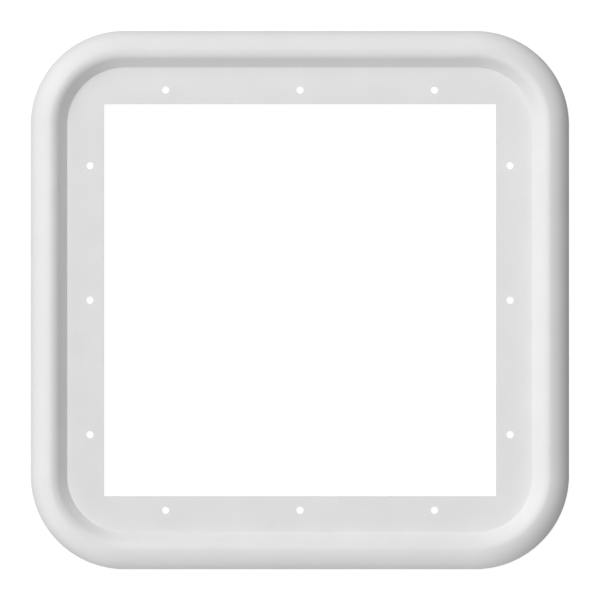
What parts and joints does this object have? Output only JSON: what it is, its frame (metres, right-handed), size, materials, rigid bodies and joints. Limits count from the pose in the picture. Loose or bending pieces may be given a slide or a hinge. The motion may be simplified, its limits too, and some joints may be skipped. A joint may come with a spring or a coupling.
{
  "type": "access opening trim frame",
  "caption": "Square formed-plastic trim frame with rounded corners: a raised hollow rim round a recessed screw flange and a square access opening.",
  "frame": {"origin": "centre of the square opening, on the back plane that lies against the wall", "axes": "+Z out of the wall towards the room, +X and +Y along the sides of the opening"},
  "size_m": [0.4882, 0.4882, 0.0148],
  "materials": {
    "white_plastic": "satin white, fine even grain"
  },
  "bodies": {
    "root": {"trim_frame": "white_plastic"}
  },
  "joints": []
}
